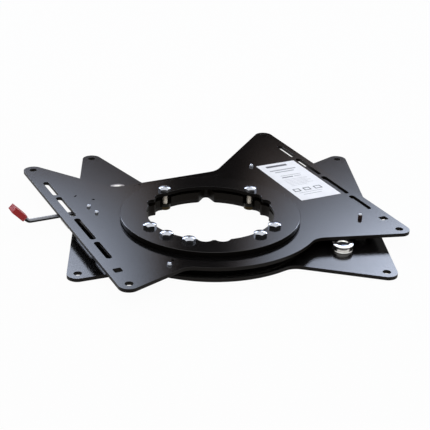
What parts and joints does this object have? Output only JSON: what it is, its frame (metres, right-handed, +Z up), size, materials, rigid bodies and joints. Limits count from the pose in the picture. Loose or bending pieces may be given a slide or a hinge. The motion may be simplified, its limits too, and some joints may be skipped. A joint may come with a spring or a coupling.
{
  "type": "swivel seat base",
  "caption": "Low swivel base for a camper seat: a seat plate with slotted sides turns on a fixed plate about an open hub and is latched facing forward or back by a hand lever.",
  "frame": {"origin": "where the swivel axis meets the underside of the base plate", "axes": "+Z up along the swivel axis; X and Y along the base plate's hole pattern, the round lobe of the base plate towards -Y and its straight edge towards +Y"},
  "size_m": [0.5521, 0.5456, 0.037],
  "materials": {
    "base_plate": "semi-gloss black powder coat",
    "threaded_bosses": "yellow zinc plated steel",
    "hub_ring": "semi-gloss black powder coat",
    "support_ring": "semi-gloss black powder coat",
    "lower_slide_ring": "natural plastic",
    "upper_slide_ring": "dark plastic",
    "clamp_ring": "semi-gloss black powder coat",
    "hub_bolts": "bright zinc plated",
    "front_latch_stud": "bright zinc plated, turned",
    "front_stud_screw": "bright zinc plated",
    "rear_latch_stud": "bright zinc plated, turned",
    "rear_stud_screw": "bright zinc plated",
    "stop_block": "semi-gloss black powder coat",
    "seat_plate": "semi-gloss black powder coat",
    "bearing_bush": "dark plastic",
    "press_nuts": "bright zinc plated",
    "pivot_bolt": "bright zinc plated",
    "pivot_bush": "dark plastic",
    "spring_post": "bright zinc plated",
    "stop_pin": "bright zinc plated",
    "spare_screw": "bright zinc plated",
    "return_spring": "spring wire",
    "hold_down_catch": "zinc plated sheet steel",
    "catch_spacer": "zinc plated sheet steel",
    "catch_screw": "bright zinc plated",
    "label": "plain white film",
    "latch_plate": "zinc plated sheet steel",
    "lever_rod": "drawn steel rod",
    "lever_grip": "moulded red plastic"
  },
  "bodies": {
    "base": {"base_plate": "base_plate", "threaded_bosses": "threaded_bosses", "hub_ring": "hub_ring", "support_ring": "support_ring", "lower_slide_ring": "lower_slide_ring", "upper_slide_ring": "upper_slide_ring", "clamp_ring": "clamp_ring", "hub_bolts": "hub_bolts", "front_latch_stud": "front_latch_stud", "front_stud_screw": "front_stud_screw", "rear_latch_stud": "rear_latch_stud", "rear_stud_screw": "rear_stud_screw", "stop_block": "stop_block"},
    "seat": {"seat_plate": "seat_plate", "bearing_bush": "bearing_bush", "press_nuts": "press_nuts", "pivot_bolt": "pivot_bolt", "pivot_bush": "pivot_bush", "spring_post": "spring_post", "stop_pin": "stop_pin", "spare_screw": "spare_screw", "return_spring": "return_spring", "hold_down_catch": "hold_down_catch", "catch_spacer": "catch_spacer", "catch_screw": "catch_screw", "label": "label"},
    "lever": {"latch_plate": "latch_plate", "lever_rod": "lever_rod", "lever_grip": "lever_grip"}
  },
  "joints": [
    {"name": "swivel", "type": "hinge", "parent": "base", "child": "seat", "pos_m": [0, 0, 0.0185], "axis": [0, 0, 1], "range_deg": [-22.5, 157.5]},
    {"name": "latch_lever", "type": "hinge", "parent": "seat", "child": "lever", "pos_m": [-0.17061, 0.03194, 0.0108], "axis": [0, 0, 1], "range_deg": [-25, 0], "stiffness_Nm_per_rad": 0.4, "springref_deg": 28.65, "deforming": ["return_spring"]}
  ]
}
